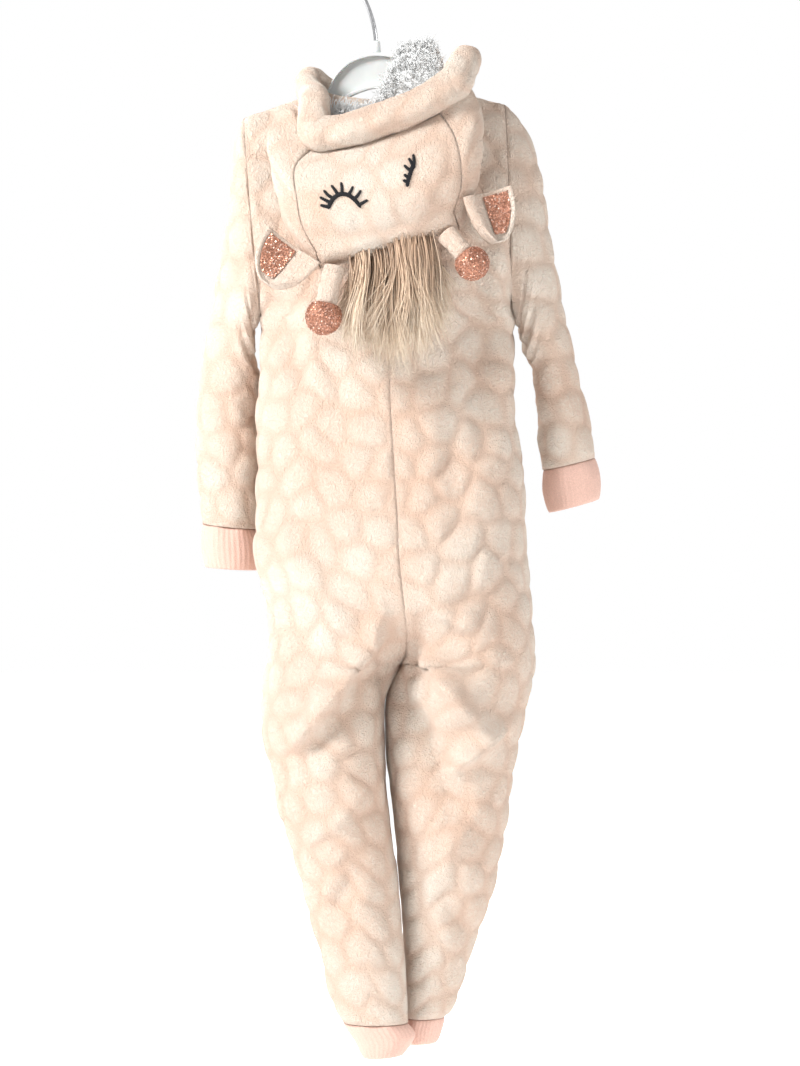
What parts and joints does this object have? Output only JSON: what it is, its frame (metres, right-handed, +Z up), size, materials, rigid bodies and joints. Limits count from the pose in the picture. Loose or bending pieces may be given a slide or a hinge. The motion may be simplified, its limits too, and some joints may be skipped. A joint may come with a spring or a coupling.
{
  "type": "hooded animal onesie on a hanger",
  "caption": "Child's hooded giraffe onesie in cobble-embossed plush with ears, horns and mane, hanging from a moulded hanger.",
  "frame": {"origin": "inside top of the hanger's hook, where a rail carries it", "axes": "+Z up, -Y towards the wearer's front, +X towards the wearer's left"},
  "size_m": [0.391, 0.2301, 1.0679],
  "materials": {
    "plush": "embossed short-pile plush",
    "rib": "soft ribbed plush",
    "sherpa": "curly sherpa fleece",
    "mane": "long shaggy pile",
    "rose_gold": "rose-gold sequins and glitter",
    "hanger_plastic": "moulded pale grey plastic",
    "chrome": "bright plated wire",
    "zip_tape": "woven zip tape",
    "zip_metal": "plated metal"
  },
  "bodies": {
    "garment": {"back_left": "plush", "back_right": "plush", "front_left": "plush", "front_right": "plush", "sleeve_left": "plush", "sleeve_right": "plush", "wrist_cuff_left": "rib", "wrist_cuff_right": "rib", "ankle_cuff_left": "rib", "ankle_cuff_right": "rib", "hood_centre": "plush", "hood_side_left": "plush", "hood_side_right": "plush", "hood_band": "plush", "hood_lining": "sherpa", "ear_left": "plush", "ear_right": "plush", "ear_sequins_left": "rose_gold", "ear_sequins_right": "rose_gold", "horn_stem_left": "plush", "horn_stem_right": "plush", "horn_ball_left": "rose_gold", "horn_ball_right": "rose_gold", "mane": "mane", "hanger": "hanger_plastic", "hook_ferrule": "hanger_plastic", "hook": "chrome", "zip_left": "zip_tape", "zip_right": "zip_tape", "zip_slider": "zip_metal"},
    "pull_tab": {"zip_pull_tab": "zip_metal"}
  },
  "joints": [
    {"name": "pull_tab_swing", "type": "hinge", "parent": "garment", "child": "pull_tab", "pos_m": [-0.00887, -0.0435, -0.19761], "axis": [-1, 0, 0], "range_deg": [0, 150]}
  ]
}
